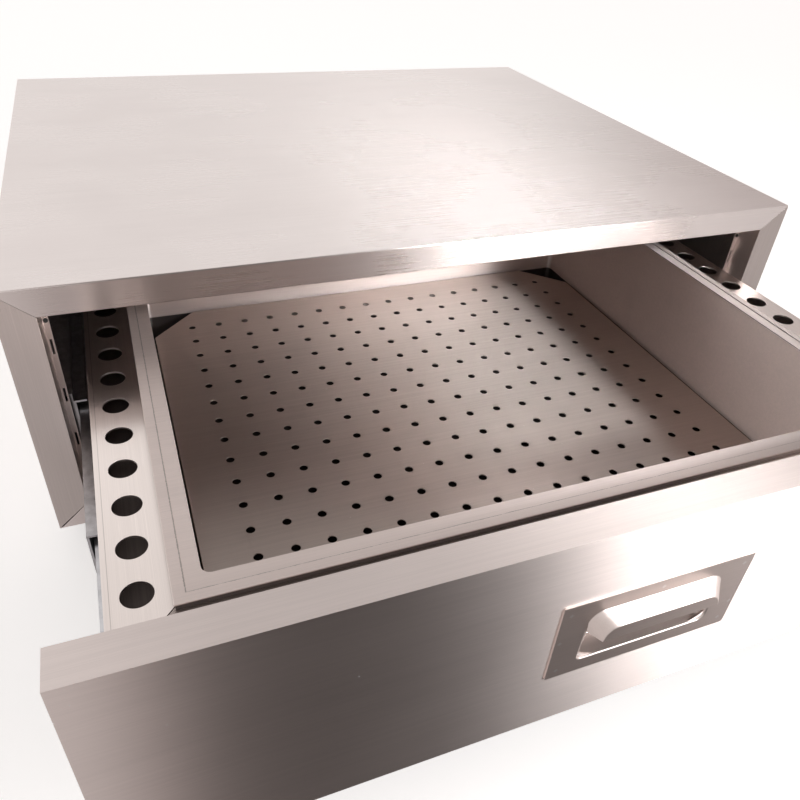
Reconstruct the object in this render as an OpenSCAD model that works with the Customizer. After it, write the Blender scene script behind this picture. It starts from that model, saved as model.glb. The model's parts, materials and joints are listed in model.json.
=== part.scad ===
// Stainless drawer cabinet with an ultraviolet lamp over a lift-out pan and perforated tray.
// Drawn with the drawer part open. The origin is the middle of the whole length, on the floor.

/* [Cabinet] */
// Width of the cabinet body
cab_w = 645; // [560:1:800]
// Depth of the cabinet body, from the face frame to the back edge
cab_d = 540; // [480:1:700]
// Height of the cabinet body, without its feet
body_h = 206; // [190:1:260]
// Thickness of the cabinet's steel sheet
sheet_t = 1.2; // [0.8:0.1:2]
// Height of the face frame's upper and lower bands
band_h = 21; // [16:0.5:30]
// Width of the face frame's side stiles
stile_w = 24; // [18:0.5:34]
// Depth of the flange that turns in from the face frame
return_d = 22.5; // [18:0.5:30]
// Width of the stop lip at the back of that flange
lip_w = 4; // [3:0.5:5]
// Hairline left at a mitred corner
mitre_gap = 0.3; // [0.1:0.1:0.6]
// How far the rear panel sits inside the back edge
rear_inset = 12; // [8:1:20]
// Height of the feet
foot_h = 25; // [15:1:60]
// Largest radius of a foot
foot_r = 19; // [12:1:28]
// Distance from the cabinet's edges to a foot's middle
foot_in = 34; // [30:1:60]

/* [Drawer] */
// How far the drawer stands open
rest_open = 274; // [100:1:320]
// Thickness of the drawer front
panel_t = 20; // [14:0.5:20]
// Gap beside the drawer front, at each side
panel_gap_x = 4; // [2:0.5:6]
// Gap above and below the drawer front
panel_gap_z = 4.4; // [2:0.1:8]
// Thickness of the drawer front's steel skin
skin_t = 1; // [0.6:0.1:1.5]
// Thickness of the drawer rails' steel
rail_t = 1.2; // [0.8:0.1:2]
// Distance from the top of the opening down to the drawer rails
rail_drop = 38.5; // [34:0.5:48]
// Distance from the bottom of the opening up to the drawer rails' lower edge
rail_lift = 6; // [3:0.5:12]
// Width of the side rails' top flange
flange_w = 43.5; // [36:0.5:60]
// Width of the front rail's top flange
front_flange_w = 41; // [34:0.5:43]
// Width of the back rail's top flange
back_flange_w = 31.5; // [26:0.5:50]
// Room left behind the closed drawer
rear_room = 6.8; // [4:0.1:20]
// Radius of the round holes along the side flanges
vent_r = 8; // [5:0.1:9]
// Distance between those holes
vent_pitch = 31; // [24:0.1:40]
// Distance from a side rail's outer face to the holes' middle line
vent_in = 15.5; // [12:0.5:20]
// Distance from the drawer front's back to the first hole
vent_first = 44; // [36:0.5:60]

/* [Pan and tray] */
// Thickness of the pan's steel
pan_t = 1; // [0.7:0.1:1.5]
// Gap between the pan's walls and the rails' flanges
pan_clear = 1.5; // [1:0.1:4]
// Width of the pan's rim
rim_w = 14.5; // [11:0.5:22]
// Height of the rim's top over the rails
rim_rise = 4; // [3:0.1:6]
// Height of the pan's underside over the lower edge of the opening
pan_under = 8.5; // [4:0.5:40]
// Inner radius of the pan's upright corners
pan_corner_r = 5; // [3:0.5:12]
// Gap between the tray and the pan's walls
tray_clear = 4; // [2:0.5:8]
// Thickness of the tray
tray_t = 1; // [0.7:0.1:1.5]
// Height of the tray's surface over the pan's floor
tray_rise = 28; // [15:1:60]
// Length cut off the tray's corners
tray_clip = 40; // [20:1:60]
// Diameter of the tray's holes
tray_hole_d = 6.35; // [4:0.05:8]
// Distance between the tray's holes
tray_pitch = 25.4; // [20:0.1:40]
// Distance from the tray's back edge to its first row of holes
tray_first = 30.2; // [24:0.1:40]
// Smallest distance from the tray's other edges to a hole
tray_margin = 24; // [14:0.5:34]
// Gap kept between pieces that lie on one another and lift apart
seat_gap = 0.3; // [0.2:0.05:0.4]

/* [Handle] */
// Width of the handle's plate
handle_w = 124; // [110:1:160]
// Height of the handle's plate
handle_h = 61.5; // [56:0.5:80]
// Thickness of the handle's sheet
handle_t = 1.2; // [0.8:0.1:2]
// Width of the finger pocket
pocket_w = 92; // [80:1:100]
// Height of the finger pocket
pocket_h = 39; // [34:0.5:46]
// How far the hood stands out in front of the drawer front
hood_out = 14; // [10:0.5:20]
// Depth of the finger pocket behind the plate
pocket_d = 15; // [10:0.5:16]
// How far the hood comes down, from the pocket's top
hood_drop = 23; // [16:0.5:26]

/* [Slides] */
// Thickness of one slide, across its three members
slide_t = 17; // [16:0.1:19]
// Height of one slide
slide_h = 46; // [42:1:53]
// Thickness of the slides' steel
slide_wall = 1.5; // [1.2:0.1:1.8]
// Diameter of the slides' balls
ball_d = 4; // [3.5:0.1:4.5]
// Running gap at each side of a ball
ball_gap = 0.05; // [0.02:0.01:0.1]
// Gap between the slides and the stop lips
slide_clear = 1.5; // [0.5:0.1:3]
// Distance from the rails' top down to the slides' middle
slide_drop = 71.5; // [60:0.5:90]
// Room in front of and behind the slides' members in the closed drawer
slide_room = 5; // [3:0.5:12]
// Length of a ball cage
cage_len = 200; // [120:5:220]
// Balls in each row of a cage
ball_count = 9; // [5:1:12]

/* [Lamp] */
// Length of the lamp's tube, between its end caps' faces
lamp_len = 438; // [288:1:438]
// Diameter of the lamp's tube
lamp_d = 26; // [16:1:26]
// Distance from the ceiling to the lamp's middle
lamp_drop = 22; // [20:0.5:26]
// Diameter of the lamp's pins
lamp_pin_d = 2.4; // [2:0.1:3]
// Width of the reflector, from front to back
reflector_w = 86; // [70:1:120]

/* [Hidden] */

steel = [0.78, 0.75, 0.73];
zinc = [0.70, 0.71, 0.72];
black = [0.10, 0.10, 0.11];
white = [0.93, 0.93, 0.91];
smooth = 48;

// Cabinet, from front to back and bottom to top
half_w = cab_w / 2;
y_back = (cab_d + rest_open + hood_out) / 2;
y_front = y_back - cab_d;
z_base = foot_h;
z_top = foot_h + body_h;
ceiling = z_top - sheet_t;
floor_in = z_base + sheet_t;
side_in = half_w - sheet_t;
open_x = half_w - stile_w;
open_lo = z_base + band_h;
open_hi = z_top - band_h;
y_return = y_front + return_d;
rear_out = y_back - rear_inset;
rear_in = rear_out - sheet_t;
lip_slot = [1.6, 12];
lip_slot_first = 35;
lip_slot_pitch = 41;
side_flange = 14;
foot_screw_r = 1.95;
foot_hole_r = 2.2;

// Drawer, as it stands open
panel_x = open_x - panel_gap_x;
panel_lo = open_lo + panel_gap_z;
panel_hi = open_hi - panel_gap_z;
panel_face = y_front - rest_open;
frame_front = panel_face + panel_t;
frame_len = cab_d - panel_t - rear_inset - sheet_t - rear_room;
frame_back = frame_front + frame_len;
rail_x = open_x - lip_w - slide_clear - slide_t;
rail_hi = open_hi - rail_drop;
rail_lo = open_lo + rail_lift;
rail_foot = 12;
front_screw_r = 2;
front_hole_r = 2.1;
vent_count = floor((frame_len - vent_first - 2 * vent_r) / vent_pitch) + 1;

// Pan and tray
pan_x = rail_x - flange_w - pan_clear;
pan_front = frame_front + front_flange_w + pan_clear;
pan_back = frame_back - back_flange_w - pan_clear;
rim_top = rail_hi + rim_rise;
pan_lo = open_lo + pan_under;
pan_depth = rim_top - pan_lo;
pan_floor = pan_lo + pan_t;
tray_x = pan_x - pan_t - tray_clear;
tray_front = pan_front + pan_t + tray_clear;
tray_back = pan_back - pan_t - tray_clear;
tray_top = pan_floor + tray_rise;
tray_cols = floor(2 * (tray_x - tray_margin) / tray_pitch) + 1;
tray_rows = floor((tray_back - tray_first - tray_front - tray_margin) / tray_pitch) + 1;

// Slides
slide_x = rail_x + slide_t;
slide_z = rail_hi - slide_drop;
slide_closed_front = y_return + slide_room;
slide_len = frame_len - 2 * slide_room;
slide_face_h = slide_h / 2;
race = ball_d + 2 * ball_gap;
middle_h = slide_face_h - slide_wall - race;
inner_h = middle_h - slide_wall - race;
outer_reach = slide_t * 0.53;
middle_in = slide_t * 0.18;
middle_out = slide_t * 0.74;
inner_in = slide_t * 0.41;
cage_t = 0.8;
cage_lead = (slide_len - cage_len) / 2 - 40;
cage_front = slide_closed_front + cage_lead + 80;
ball_step = cage_len / ball_count;
slide_screw_r = 2;
slide_hole_r = 2.1;
bracket_h = 60;

// Handle
handle_z = (panel_lo + panel_hi) / 2;
handle_hole_x = handle_w / 2 - 8;
handle_hole_z = handle_h / 2 - 7;
stud_r = 1.5;
stud_len = 9;

// Lamp and its gear, around the middle of the closed pan
lamp_y = (pan_front + pan_back) / 2 + rest_open;
lamp_z = ceiling - lamp_drop;
lamp_r = lamp_d / 2;
cap_len = 7;
pin_len = 7.1;
pin_gap = 12.7;
holder_t = 13;
holder_gap = 0.4;
holder_x = lamp_len / 2 + holder_gap;
reflector_x = holder_x + holder_t + 6;
reflector_t = 0.8;
reflector_z = lamp_z + lamp_r + 2;
guard_r = 1.2;
guard_cross_r = 0.9;
guard_z = lamp_z - lamp_r - 3;
guard_y = 20;
gear_y = lamp_y + reflector_w / 2 + 32;
ballast_size = [150, 40, 28];
wire_r = 1.5;

// Rear fittings
rear_z = z_top - 37;
rear_screw_r = 1.6;
rear_hole_r = 1.7;
rear_screw_lift = 26;
rear_screw_pitch = (body_h - 2 * rear_screw_lift - 4) / 2;
rear_slot = [4, 35];
rear_slots = 16;
rear_slot_pitch = 16;
rear_slot_x = -202;
rear_slot_z = z_base + 40;
inlet_x = 190;
inlet_size = [27, 22, 20];
switch_x = 140;
rear_lip = 4;
switch_size = [11, 15];
switch_hole = [switch_size[0] + 4, switch_size[1] + 4];
switch_wall = 1.8;
switch_tilt = 8;
rocker_clear = 0.5;

// Box from two opposite corners
module block(a, b) {
    translate([min(a[0], b[0]), min(a[1], b[1]), min(a[2], b[2])])
        cube([abs(b[0] - a[0]), abs(b[1] - a[1]), abs(b[2] - a[2])]);
}

// Upright plate with its outline in X and Z
module upright(y, t) {
    translate([0, y + t, 0]) rotate([90, 0, 0]) linear_extrude(t) children();
}

// Bar with its outline in X and Z, from y0 to y1
module along_y(y0, y1) {
    translate([0, y1, 0]) rotate([90, 0, 0]) linear_extrude(y1 - y0) children();
}

module rounded_rect(x0, y0, x1, y1, r) {
    hull() {
        for (x = [x0 + r, x1 - r]) {
            for (y = [y0 + r, y1 - r]) translate([x, y]) circle(r, $fn = 32);
        }
    }
}

// Round bar between two points
module rod(a, b, r) {
    d = b - a;
    len = norm(d);
    translate(a) rotate([0, acos(d[2] / len), atan2(d[1], d[0])]) cylinder(len, r, r, $fn = 24);
}

module pan_head(r, h) {
    intersection() {
        cylinder(h, r, r, $fn = 24);
        translate([0, 0, h - 1.6 * r]) sphere(1.6 * r, $fn = 32);
    }
}

// Screw whose head stands on z = 0 and whose shank hangs below
module screw(r, len) {
    difference() {
        pan_head(2 * r, 1.3 * r);
        for (a = [0, 90]) rotate(a) translate([-r, -0.25 * r, 0.75 * r]) cube([2 * r, 0.5 * r, r]);
    }
    translate([0, 0, -len]) cylinder(len, r, r, $fn = 24);
}

// Cabinet panels

module band_outline(z_out, z_in, x_out) {
    polygon([[-x_out, z_out], [x_out, z_out], [open_x, z_in], [-open_x, z_in]]);
}

module top_panel() color(steel) {
    block([-half_w, y_front, ceiling], [half_w, y_back, z_top]);
    upright(y_front, sheet_t) band_outline(z_top, open_hi, half_w - mitre_gap);
    block([-open_x, y_front, open_hi], [open_x, y_return, open_hi + sheet_t]);
    block([-side_in + 1, y_back - sheet_t, ceiling], [side_in - 1, y_back, ceiling - rear_inset]);
}

module bottom_panel() color(steel) {
    difference() {
        union() {
            block([-side_in, y_front, z_base], [side_in, rear_in, floor_in]);
            upright(y_front, sheet_t) band_outline(z_base, open_lo, side_in - mitre_gap);
            block([-open_x, y_front, open_lo - sheet_t], [open_x, y_return, open_lo]);
        }
        for (p = foot_places()) {
            translate([p[0], p[1], z_base - 1])
                cylinder(sheet_t + 2, foot_hole_r, foot_hole_r, $fn = 32);
        }
    }
}

module lip_slots() {
    for (k = [0:2]) {
        z = open_hi - lip_slot_first - k * lip_slot_pitch;
        block([open_x - lip_w / 2 - lip_slot[0] / 2, y_return - 3, z - lip_slot[1] / 2],
              [open_x - lip_w / 2 + lip_slot[0] / 2, y_return + 3, z + lip_slot[1] / 2]);
    }
}

module right_side() {
    block([side_in, y_front, z_base], [half_w, y_back, ceiling]);
    upright(y_front, sheet_t) polygon([[half_w, z_base + mitre_gap], [half_w, ceiling],
                                       [half_w - sheet_t - mitre_gap, ceiling],
                                       [open_x, open_hi - mitre_gap], [open_x, open_lo + mitre_gap]]);
    block([open_x, y_front, open_lo], [open_x + sheet_t, y_return, open_hi]);
    difference() {
        block([open_x - lip_w, y_return - sheet_t, open_lo], [open_x + sheet_t, y_return, open_hi]);
        lip_slots();
    }
    difference() {
        block([side_in, rear_in - sheet_t, floor_in], [side_in - side_flange, rear_in, ceiling]);
        rear_screw_holes();
    }
}

module right_side_panel() color(steel) right_side();
module left_side_panel() color(steel) mirror([1, 0, 0]) right_side();

function rear_screw_places() = [
    for (s = [-1, 1]) for (k = [0:2])
        [s * (side_in - side_flange / 2), floor_in + rear_screw_lift + k * rear_screw_pitch]
];

module rear_screw_holes() {
    for (p = rear_screw_places()) {
        translate([p[0], rear_out + 1, p[1]]) rotate([90, 0, 0])
            cylinder(2 * sheet_t + 2, rear_hole_r, rear_hole_r, $fn = 32);
    }
}

module rear_panel() color(steel) {
    difference() {
        block([-side_in + 0.4, rear_in, floor_in], [side_in - 0.4, rear_out, ceiling]);
        for (k = [0:rear_slots - 1]) {
            x = rear_slot_x + k * rear_slot_pitch;
            block([x, rear_in - 1, rear_slot_z],
                  [x + rear_slot[0], rear_out + 1, rear_slot_z + rear_slot[1]]);
        }
        block([inlet_x - inlet_size[0] / 2, rear_in - 1, rear_z - inlet_size[1] / 2],
              [inlet_x + inlet_size[0] / 2, rear_out + 1, rear_z + inlet_size[1] / 2]);
        block([switch_x - switch_hole[0] / 2, rear_in - 1, rear_z - switch_hole[1] / 2],
              [switch_x + switch_hole[0] / 2, rear_out + 1, rear_z + switch_hole[1] / 2]);
        rear_screw_holes();
    }
}

module rear_panel_screws() color(zinc) {
    for (p = rear_screw_places()) {
        translate([p[0], rear_out, p[1]]) rotate([-90, 0, 0])
            screw(rear_screw_r, 2 * sheet_t + 3);
    }
}

function foot_places() = [
    for (x = [-half_w + foot_in, half_w - foot_in]) for (y = [y_front + foot_in, rear_in - foot_in]) [x, y]
];

module feet() color(black) {
    for (p = foot_places()) {
        translate([p[0], p[1], 0]) difference() {
            union() {
                cylinder(foot_h - 8, foot_r * 0.84, foot_r * 0.95, $fn = smooth);
                translate([0, 0, foot_h - 8]) cylinder(8, foot_r, foot_r, $fn = smooth);
            }
            translate([0, 0, foot_h - 16]) cylinder(17, 2, 2, $fn = 32);
        }
    }
}

module foot_screws() color(zinc) {
    for (p = foot_places()) translate([p[0], p[1], floor_in]) screw(foot_screw_r, sheet_t + 14);
}

module drawer_bumpers() color(black) {
    for (s = [-1, 1]) {
        for (z = [open_lo + 12, open_hi - 14]) {
            translate([s * (open_x - lip_w / 2), y_return - sheet_t, z]) rotate([90, 0, 0])
                cylinder(0.9, 1.6, 1.6, $fn = 24);
        }
    }
}

// Slides: every member is a channel that runs in the one outside it

module channel(x_web, x_open, h) {
    s = sign(x_open - x_web);
    difference() {
        translate([min(x_web, x_open), -h]) square([abs(x_open - x_web), 2 * h]);
        translate([min(x_web + s * slide_wall, x_open + s), -h + slide_wall])
            square([abs(x_open - x_web) - slide_wall + 1, 2 * (h - slide_wall)]);
    }
}

module at_slide(y0, y1) {
    translate([0, 0, slide_z]) along_y(y0, y1) children();
}

function slide_screw_ys(y0) = [y0 + 40, y0 + slide_len / 2, y0 + slide_len - 40];

module cross_hole(x, y, r, len) {
    translate([x - len / 2, y, slide_z]) rotate([0, 90, 0]) cylinder(len, r, r, $fn = 32);
}

module right_bracket() {
    difference() {
        translate([0, 0, slide_z]) along_y(slide_closed_front, slide_closed_front + slide_len)
            difference() {
                translate([slide_x, -bracket_h / 2]) square([side_in - slide_x, bracket_h]);
                translate([slide_x + slide_wall, -bracket_h / 2 + slide_wall])
                    square([side_in - slide_x, bracket_h - 2 * slide_wall]);
            }
        for (y = slide_screw_ys(slide_closed_front)) cross_hole(slide_x, y, slide_hole_r, 8);
    }
}

module right_slide_bracket() color(zinc) right_bracket();
module left_slide_bracket() color(zinc) mirror([1, 0, 0]) right_bracket();

module right_outer() {
    difference() {
        at_slide(slide_closed_front, slide_closed_front + slide_len)
            channel(slide_x, slide_x - outer_reach, slide_face_h);
        for (y = slide_screw_ys(slide_closed_front)) cross_hole(slide_x, y, slide_hole_r, 8);
    }
}

module right_outer_slide() color(zinc) right_outer();
module left_outer_slide() color(zinc) mirror([1, 0, 0]) right_outer();

module outer_slide_screws() color(zinc) {
    for (s = [-1, 1]) {
        for (y = slide_screw_ys(slide_closed_front)) {
            translate([s * (slide_x - slide_wall), y, slide_z]) rotate([0, -90 * s, 0]) {
                cylinder(1, 2 * slide_screw_r, 1.8 * slide_screw_r, $fn = 24);
                translate([0, 0, -2 * slide_wall - 2])
                    cylinder(2 * slide_wall + 2, slide_screw_r, slide_screw_r, $fn = 24);
            }
        }
    }
}

module right_middle() {
    y0 = slide_closed_front - rest_open / 2;
    at_slide(y0, y0 + slide_len) channel(slide_x - middle_in, slide_x - middle_out, middle_h);
}

module right_middle_slide() color(zinc) right_middle();
module left_middle_slide() color(zinc) mirror([1, 0, 0]) right_middle();

// Two rows of balls per cage, above and below
module ball_rows(x, h, y0) {
    for (s = [-1, 1]) {
        for (v = [-1, 1]) {
            for (k = [0:ball_count - 1]) {
                translate([s * x, y0 + (k + 0.5) * ball_step, slide_z + v * h])
                    sphere(ball_d / 2, $fn = 24);
            }
        }
    }
}

module cage_strips(x, h, y0) {
    for (s = [-1, 1]) {
        for (v = [-1, 1]) {
            difference() {
                block([s * (x - ball_d), y0, slide_z + v * h - cage_t / 2],
                      [s * (x + ball_d / 2 + 0.6), y0 + cage_len, slide_z + v * h + cage_t / 2]);
                for (k = [0:ball_count - 1]) {
                    translate([s * x, y0 + (k + 0.5) * ball_step, slide_z + v * h - 2])
                        cylinder(4, ball_d / 2 + 0.15, ball_d / 2 + 0.15, $fn = 24);
                }
            }
        }
    }
}

outer_ball_x = slide_x - (middle_in + outer_reach) / 2;
inner_ball_x = slide_x - (inner_in + middle_out) / 2;
outer_ball_h = middle_h + race / 2;
inner_ball_h = inner_h + race / 2;

module outer_ball_cages() color(zinc)
    cage_strips(outer_ball_x, outer_ball_h, cage_front - rest_open / 4);
module outer_slide_balls() color(steel)
    ball_rows(outer_ball_x, outer_ball_h, cage_front - rest_open / 4);
module inner_ball_cages() color(zinc)
    cage_strips(inner_ball_x, inner_ball_h, cage_front - 0.75 * rest_open);
module inner_slide_balls() color(steel)
    ball_rows(inner_ball_x, inner_ball_h, cage_front - 0.75 * rest_open);

inner_front = slide_closed_front - rest_open;

module right_inner() {
    difference() {
        at_slide(inner_front, inner_front + slide_len) channel(rail_x, slide_x - inner_in, inner_h);
        for (y = slide_screw_ys(inner_front)) cross_hole(rail_x, y, slide_hole_r, 8);
    }
}

module right_inner_slide() color(zinc) right_inner();
module left_inner_slide() color(zinc) mirror([1, 0, 0]) right_inner();

module inner_slide_screws() color(zinc) {
    for (s = [-1, 1]) {
        for (y = slide_screw_ys(inner_front)) {
            translate([s * (rail_x + slide_wall), y, slide_z]) rotate([0, 90 * s, 0])
                screw(slide_screw_r, slide_wall + rail_t + 2);
        }
    }
}

// Drawer rails, mitred at the four corners

module vent_holes() {
    for (k = [0:vent_count - 1]) {
        translate([rail_x - vent_in, frame_front + vent_first + k * vent_pitch, rail_hi - rail_t - 1])
            cylinder(rail_t + 2, vent_r, vent_r, $fn = smooth);
    }
}

module right_rail() {
    g = mitre_gap;
    difference() {
        translate([0, 0, rail_hi - rail_t]) linear_extrude(rail_t) polygon([
            [rail_x, frame_front + g], [rail_x, frame_back - g],
            [rail_x - back_flange_w, frame_back - back_flange_w - g],
            [rail_x - flange_w, frame_back - back_flange_w - g],
            [rail_x - flange_w, frame_front + front_flange_w + g],
            [rail_x - front_flange_w, frame_front + front_flange_w + g]]);
        vent_holes();
    }
    difference() {
        block([rail_x - rail_t, frame_front, rail_lo], [rail_x, frame_back, rail_hi]);
        for (y = slide_screw_ys(inner_front)) cross_hole(rail_x, y, slide_hole_r, 8);
    }
    block([rail_x - rail_foot, frame_front + rail_foot, rail_lo],
          [rail_x, frame_back - rail_foot, rail_lo + rail_t]);
}

module drawer_right_rail() color(steel) right_rail();
module drawer_left_rail() color(steel) mirror([1, 0, 0]) right_rail();

module drawer_front_rail() color(steel) {
    e = rail_x - rail_t - 0.1;
    translate([0, 0, rail_hi - rail_t]) linear_extrude(rail_t) polygon([
        [-e, frame_front], [e, frame_front],
        [rail_x - front_flange_w, frame_front + front_flange_w - mitre_gap],
        [-rail_x + front_flange_w, frame_front + front_flange_w - mitre_gap]]);
    difference() {
        block([-e, frame_front, rail_lo], [e, frame_front + rail_t, rail_hi]);
        for (p = front_screw_places()) {
            translate([p[0], frame_front - 1, p[1]]) rotate([-90, 0, 0])
                cylinder(rail_t + 2, front_hole_r, front_hole_r, $fn = 32);
        }
    }
    block([-e, frame_front, rail_lo], [e, frame_front + rail_foot - 0.2, rail_lo + rail_t]);
}

module drawer_back_rail() color(steel) {
    e = rail_x - rail_t - 0.1;
    translate([0, 0, rail_hi - rail_t]) linear_extrude(rail_t) polygon([
        [-e, frame_back], [e, frame_back],
        [rail_x - back_flange_w, frame_back - back_flange_w + mitre_gap],
        [-rail_x + back_flange_w, frame_back - back_flange_w + mitre_gap]]);
    block([-e, frame_back - rail_t, rail_lo], [e, frame_back, rail_hi]);
    block([-e, frame_back - rail_foot + 0.2, rail_lo], [e, frame_back, rail_lo + rail_t]);
}

// Drawer front: a folded skin, closed at the back by a liner

module drawer_front_skin() color(steel) {
    difference() {
        block([-panel_x, panel_face, panel_lo], [panel_x, frame_front, panel_hi]);
        block([-panel_x + skin_t, panel_face + skin_t, panel_lo + skin_t],
              [panel_x - skin_t, frame_front + 1, panel_hi - skin_t]);
        translate([0, 0, handle_z]) along_y(panel_face - 1, panel_face + 3)
            rounded_rect(-pocket_w / 2 - 1, -pocket_h / 2 - 1, pocket_w / 2 + 1, pocket_h / 2 + 1, 16);
        for (p = handle_hole_places()) {
            translate([p[0], panel_face - 1, p[1]]) rotate([-90, 0, 0])
                cylinder(skin_t + 2, stud_r + 0.3, stud_r + 0.3, $fn = 32);
        }
    }
}

module drawer_front_liner() color(steel) {
    g = 0.2;
    difference() {
        block([-panel_x + skin_t + g, frame_front - skin_t, panel_lo + skin_t + g],
              [panel_x - skin_t - g, frame_front, panel_hi - skin_t - g]);
        for (p = front_screw_places()) {
            translate([p[0], frame_front - skin_t - 1, p[1]]) rotate([-90, 0, 0])
                cylinder(skin_t + 2, front_hole_r, front_hole_r, $fn = 32);
        }
    }
}

function front_screw_places() = [
    for (k = [-1.5:1:1.5]) for (z = [rail_lo + 22, rail_hi - 22]) [k * rail_x * 0.58, z]
];

module front_screws() color(zinc) {
    for (p = front_screw_places()) {
        translate([p[0], frame_front + rail_t, p[1]]) rotate([-90, 0, 0])
            screw(front_screw_r, rail_t + skin_t + 2);
    }
}

// Handle: plate, hood and finger pocket pressed from one sheet

function handle_hole_places() = [
    for (x = [-handle_hole_x, handle_hole_x]) for (z = [-handle_hole_z, handle_hole_z]) [x, handle_z + z]
];

// Long dome with round ends, of half height h and depth d, along X
module dome(half, h, d) {
    scale([1, d / h, 1]) hull() {
        for (s = [-1, 1]) translate([s * (half - h), 0, 0]) sphere(h, $fn = 24);
    }
}

module handle() color(steel) {
    plate_y = panel_face - handle_t;
    half = pocket_w / 2;
    h = pocket_h / 2;
    cut_z = h - hood_drop;
    translate([0, 0, handle_z]) {
        difference() {
            block([-handle_w / 2, plate_y, -handle_h / 2], [handle_w / 2, panel_face, handle_h / 2]);
            translate([0, panel_face, 0]) dome(half, h, hood_out);
        }
        translate([0, panel_face, 0]) difference() {
            dome(half, h, hood_out);
            dome(half - handle_t, h - handle_t, hood_out - handle_t);
            block([-handle_w, 0, -h - 1], [handle_w, hood_out + 1, h + 1]);
            block([-handle_w, -hood_out - 1, -h - 1], [handle_w, hood_out + 1, cut_z]);
        }
        translate([0, panel_face, 0]) difference() {
            dome(half, h, pocket_d);
            dome(half - handle_t, h - handle_t, pocket_d - handle_t);
            block([-handle_w, -pocket_d - 1, -h - 1], [handle_w, -handle_t, h + 1]);
        }
    }
}

module handle_studs() color(zinc) {
    for (p = handle_hole_places()) {
        translate([p[0], panel_face, p[1]]) rotate([-90, 0, 0])
            cylinder(stud_len, stud_r, stud_r, $fn = 24);
    }
}

module handle_nuts() color(zinc) {
    for (p = handle_hole_places()) {
        translate([p[0], panel_face + skin_t, p[1]]) rotate([-90, 0, 0]) difference() {
            cylinder(2.6, 3.1, 3.1, $fn = 6);
            translate([0, 0, -1]) cylinder(5, stud_r + 0.05, stud_r + 0.05, $fn = 24);
        }
    }
}

// Pan and tray

module pan_outline(grow) {
    rounded_rect(-pan_x - grow, pan_front - grow, pan_x + grow, pan_back + grow,
                 max(pan_corner_r + pan_t + grow, 1.5));
}

module pan() color(steel) {
    rim_lo = rail_hi + seat_gap;
    difference() {
        union() {
            translate([0, 0, pan_lo]) linear_extrude(pan_depth) pan_outline(0);
            translate([0, 0, rim_lo]) linear_extrude(rim_top - rim_lo)
                square_outline(rim_w - pan_t);
        }
        translate([0, 0, pan_floor]) linear_extrude(pan_depth) pan_outline(-pan_t);
        translate([0, 0, rim_lo - 1]) linear_extrude(rim_top - rim_lo - pan_t + 1) difference() {
            square_outline(rim_w - 2 * pan_t);
            pan_outline(0);
        }
    }
}

module square_outline(grow) {
    translate([-pan_x - grow, pan_front - grow])
        square([2 * (pan_x + grow), pan_back - pan_front + 2 * grow]);
}

module tray_outline(in) {
    c = tray_clip;
    x = tray_x - in;
    y0 = tray_front + in;
    y1 = tray_back - in;
    polygon([[-x + c, y0], [x - c, y0], [x, y0 + c], [x, y1 - c],
             [x - c, y1], [-x + c, y1], [-x, y1 - c], [-x, y0 + c]]);
}

module perforated_tray() color(steel) {
    lo = pan_floor + seat_gap;
    difference() {
        translate([0, 0, lo]) linear_extrude(tray_top - lo) tray_outline(0);
        translate([0, 0, lo - 1]) linear_extrude(tray_top - lo - tray_t + 1) tray_outline(tray_t);
        for (s = [-1, 1]) {
            for (t = [0, 1]) {
                y = t == 0 ? tray_front : tray_back;
                translate([s * tray_x, y, lo - 1]) rotate(45)
                    translate([-tray_clip, -tray_clip, 0])
                        cube([2 * tray_clip, 2 * tray_clip, tray_top - tray_t - lo + 1]);
            }
        }
        for (i = [0:tray_cols - 1]) {
            for (j = [0:tray_rows - 1]) {
                translate([(i - (tray_cols - 1) / 2) * tray_pitch,
                           tray_back - tray_first - j * tray_pitch, tray_top - tray_t - 1])
                    cylinder(tray_t + 2, d = tray_hole_d, $fn = 16);
            }
        }
    }
}

// Lamp under the ceiling

module lamp_reflector() color(white) {
    w = reflector_w / 2;
    z = reflector_z;
    translate([-reflector_x, lamp_y, 0]) rotate([90, 0, 90]) linear_extrude(2 * reflector_x) polygon([
        [-w, z - 8], [-w + 12, z], [w - 12, z], [w, z - 8],
        [w - 0.3, z - 8 + reflector_t], [w - 12, z + reflector_t],
        [-w + 12, z + reflector_t], [-w + 0.3, z - 8 + reflector_t]]);
    for (s = [-1, 1]) {
        block([s * (reflector_x - 12), lamp_y - 20, z], [s * (reflector_x - 2), lamp_y + 20, ceiling]);
    }
}

module lamp_holders() color(white) {
    for (s = [-1, 1]) {
        difference() {
            union() {
                translate([s * holder_x, lamp_y, lamp_z]) rotate([0, 90 * s, 0])
                    cylinder(holder_t, lamp_r - 1, lamp_r - 1, $fn = smooth);
                block([s * holder_x, lamp_y - lamp_r + 1, lamp_z],
                      [s * (holder_x + holder_t), lamp_y + lamp_r - 1, reflector_z]);
            }
            for (v = [-1, 1]) {
                translate([s * (holder_x - 1), lamp_y + v * pin_gap / 2, lamp_z]) rotate([0, 90 * s, 0])
                    cylinder(9, lamp_pin_d / 2 + 0.3, lamp_pin_d / 2 + 0.3, $fn = 24);
            }
        }
    }
}

module uv_lamp_tube() color([0.8, 0.85, 0.95, 0.5]) {
    len = lamp_len - 2 * cap_len;
    translate([-len / 2, lamp_y, lamp_z]) rotate([0, 90, 0]) difference() {
        cylinder(len, lamp_r - 0.4, lamp_r - 0.4, $fn = smooth);
        translate([0, 0, -1]) cylinder(len + 2, lamp_r - 1.4, lamp_r - 1.4, $fn = smooth);
    }
}

module lamp_end_caps() color(zinc) {
    for (s = [-1, 1]) {
        translate([s * (lamp_len / 2 - cap_len), lamp_y, lamp_z]) rotate([0, 90 * s, 0])
            cylinder(cap_len, lamp_r, lamp_r, $fn = smooth);
    }
}

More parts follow.
